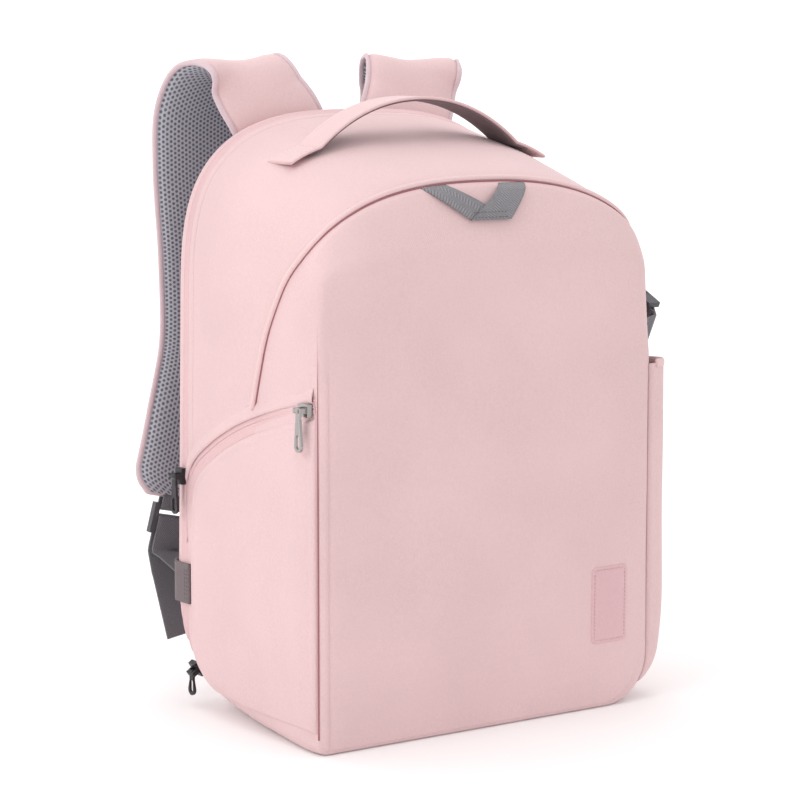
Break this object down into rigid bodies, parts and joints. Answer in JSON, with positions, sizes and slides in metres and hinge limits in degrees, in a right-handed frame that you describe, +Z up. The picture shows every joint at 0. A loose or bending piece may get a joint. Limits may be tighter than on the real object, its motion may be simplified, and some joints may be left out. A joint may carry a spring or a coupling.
{
  "type": "camera backpack",
  "caption": "Upright padded camera backpack with an arched front panel, zipped back lid, side access flap, side pocket, top handle and two padded shoulder straps.",
  "frame": {"origin": "on the ground, on the flat base under the middle of the bag", "axes": "+Z up, -Y out of the front panel, +Y towards the wearer, X across the bag with the side pocket at +X"},
  "size_m": [0.3382, 0.2613, 0.4837],
  "materials": {
    "shell_cloth": "tightly woven coated polyester, matt, pale pink",
    "strap_cloth": "pale pink woven cloth over foam, grey spacer mesh inside",
    "handle_cloth": "pale pink woven cloth over brown-grey webbing",
    "patch": "plain stitched patch, tone on tone",
    "felt": "blue-grey brushed lining over foam",
    "spacer_mesh": "grey knitted spacer mesh over foam",
    "webbing": "woven grey polyester webbing",
    "zip_tape": "pink coated zip tape",
    "buckle_plastic": "moulded dark grey plastic",
    "zip_metal": "polished die-cast zip pull",
    "dark_metal": "dark lacquered zip pull"
  },
  "bodies": {
    "bag": {"main_shell": "shell_cloth", "front_pocket": "shell_cloth", "arch_piping": "shell_cloth", "back_panel": "shell_cloth", "back_zip": "zip_tape", "laptop_sleeve": "felt", "side_flap_left": "shell_cloth", "side_zip_left": "zip_tape", "side_pocket_right": "shell_cloth", "front_patch": "patch", "top_loop": "webbing", "side_tab": "webbing", "grab_handle": "handle_cloth", "tripod_strap_front": "webbing", "tripod_strap_rear": "webbing", "tripod_buckle_socket": "buckle_plastic", "tripod_buckle_plug": "buckle_plastic", "back_pad_left": "spacer_mesh", "back_pad_right": "spacer_mesh", "shoulder_strap_left": "strap_cloth", "shoulder_strap_right": "strap_cloth", "strap_lock_left": "buckle_plastic", "strap_lock_right": "buckle_plastic", "strap_loop_left": "webbing", "strap_loop_right": "webbing", "strap_webbing_left": "webbing", "strap_webbing_right": "webbing", "side_slider": "zip_metal", "back_slider": "dark_metal", "foot_slider": "dark_metal", "divider_upright": "felt", "divider_shelf_left": "felt", "divider_stub": "felt", "divider_shelf_top": "felt", "divider_shelf_middle": "felt", "divider_side": "felt", "divider_shelf_low": "felt", "divider_foot": "felt"},
    "side_pull": {"side_pull": "zip_metal"},
    "back_pull": {"back_pull": "dark_metal"},
    "foot_pull": {"foot_pull": "dark_metal"}
  },
  "joints": [
    {"name": "side_pull_hinge", "type": "hinge", "parent": "bag", "child": "side_pull", "pos_m": [-0.1594, -0.084, 0.24131], "axis": [0, 1, 0], "range_deg": [0, 165]},
    {"name": "back_pull_hinge", "type": "hinge", "parent": "bag", "child": "back_pull", "pos_m": [-0.1592, 0.08477, 0.174], "axis": [0, 1, 0], "range_deg": [0, 165]},
    {"name": "foot_pull_hinge", "type": "hinge", "parent": "bag", "child": "foot_pull", "pos_m": [-0.14828, 0.0808, 0.02574], "axis": [0, 1, 0], "range_deg": [0, 140]}
  ]
}
